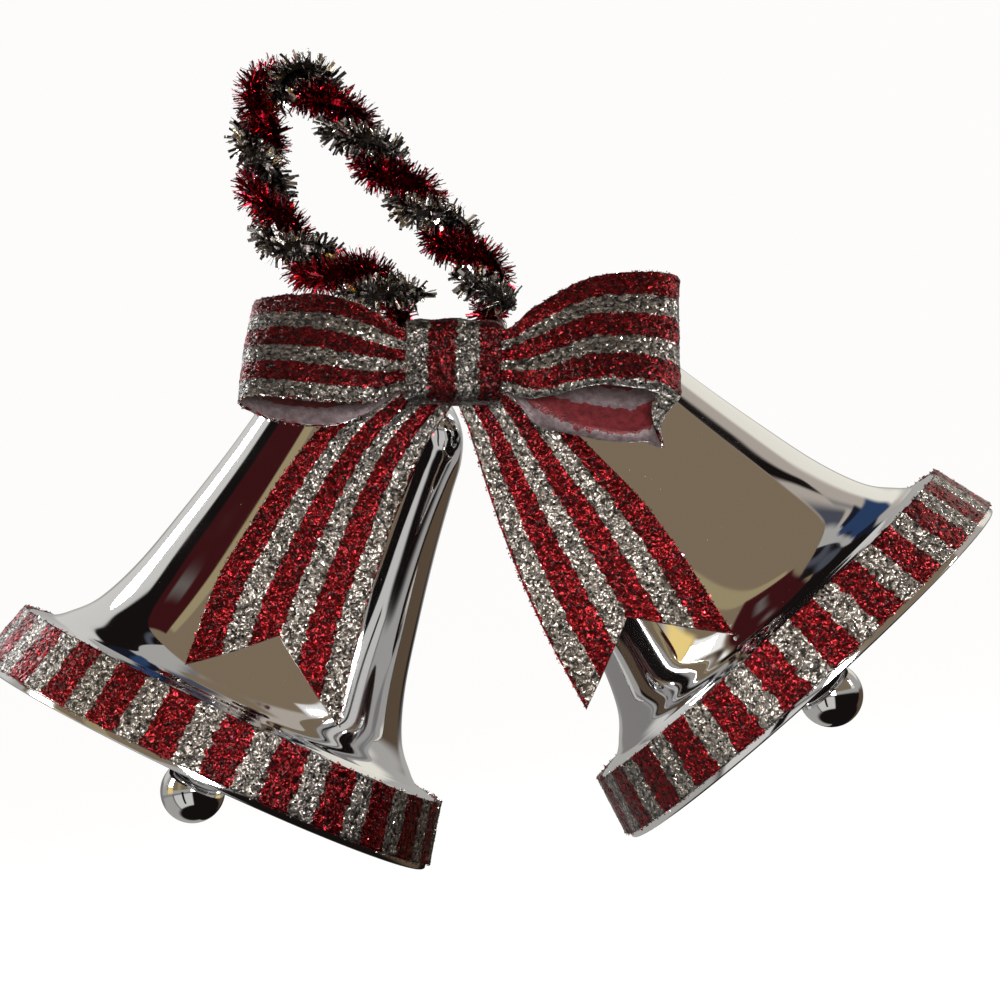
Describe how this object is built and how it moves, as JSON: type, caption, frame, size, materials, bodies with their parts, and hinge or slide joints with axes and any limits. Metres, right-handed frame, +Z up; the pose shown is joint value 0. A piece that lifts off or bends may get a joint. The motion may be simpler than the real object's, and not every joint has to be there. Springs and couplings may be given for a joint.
{
  "type": "christmas bell ornament",
  "caption": "Double bell ornament: mirror-silver bells with glitter ribbon bands, clappers, a striped bow with notched tails and a twisted tinsel hanging loop",
  "frame": {"origin": "top of the inside of the tinsel hanging loop, where a hook or twig bears", "axes": "X across the two bells, longest; Y from the bow in front at -Y to the back, shortest; Z up, halfway between the two bells' axes"},
  "size_m": [0.2516, 0.122, 0.2095],
  "materials": {
    "bell_plating": "moulded plastic, vacuum-plated mirror silver",
    "chrome_plating": "moulded plastic, bright chrome plated",
    "glitter_ribbon": "woven mesh ribbon with red and silver glitter stripes",
    "red_tinsel": "cut metallised red film on a twisted core",
    "silver_tinsel": "cut metallised silver film on a twisted core",
    "steel_wire": "bright drawn wire"
  },
  "bodies": {
    "ornament": {"tie_wire": "steel_wire", "bow_loops": "glitter_ribbon", "bow_tails": "glitter_ribbon", "bow_knot": "glitter_ribbon", "tinsel_strand_red": "red_tinsel", "tinsel_strand_silver": "silver_tinsel"},
    "bell_left": {"bell_shell_left": "bell_plating", "rim_band_left": "glitter_ribbon", "crown_cap_left": "chrome_plating", "eye_pin_left": "steel_wire", "retaining_washer_left": "steel_wire"},
    "clapper_link_left": {"clapper_link_left": "steel_wire"},
    "clapper_left": {"clapper_stem_left": "steel_wire", "clapper_ball_left": "chrome_plating"},
    "bell_right": {"bell_shell_right": "bell_plating", "rim_band_right": "glitter_ribbon", "crown_cap_right": "chrome_plating", "eye_pin_right": "steel_wire", "retaining_washer_right": "steel_wire"},
    "clapper_link_right": {"clapper_link_right": "steel_wire"},
    "clapper_right": {"clapper_stem_right": "steel_wire", "clapper_ball_right": "chrome_plating"}
  },
  "joints": [
    {"name": "bell_swing_left", "type": "hinge", "parent": "ornament", "child": "bell_left", "pos_m": [0.02186, 0, -0.06137], "axis": [0, 1, 0], "range_deg": [0, 20]},
    {"name": "clapper_sideways_left", "type": "hinge", "parent": "bell_left", "child": "clapper_link_left", "pos_m": [0.012, 0, -0.07607], "axis": [0, 1, 0], "range_deg": [-25, 25]},
    {"name": "clapper_to_and_fro_left", "type": "hinge", "parent": "clapper_link_left", "child": "clapper_left", "pos_m": [0.00855, 0, -0.08122], "axis": [0.8305, 0, -0.557], "range_deg": [-10, 10]},
    {"name": "bell_swing_right", "type": "hinge", "parent": "ornament", "child": "bell_right", "pos_m": [0.04114, 0, -0.06137], "axis": [0, -1, 0], "range_deg": [0, 20]},
    {"name": "clapper_sideways_right", "type": "hinge", "parent": "bell_right", "child": "clapper_link_right", "pos_m": [0.051, 0, -0.07607], "axis": [0, 1, 0], "range_deg": [-25, 25]},
    {"name": "clapper_to_and_fro_right", "type": "hinge", "parent": "clapper_link_right", "child": "clapper_right", "pos_m": [0.05445, 0, -0.08122], "axis": [0.8305, 0, 0.557], "range_deg": [-10, 10]}
  ]
}
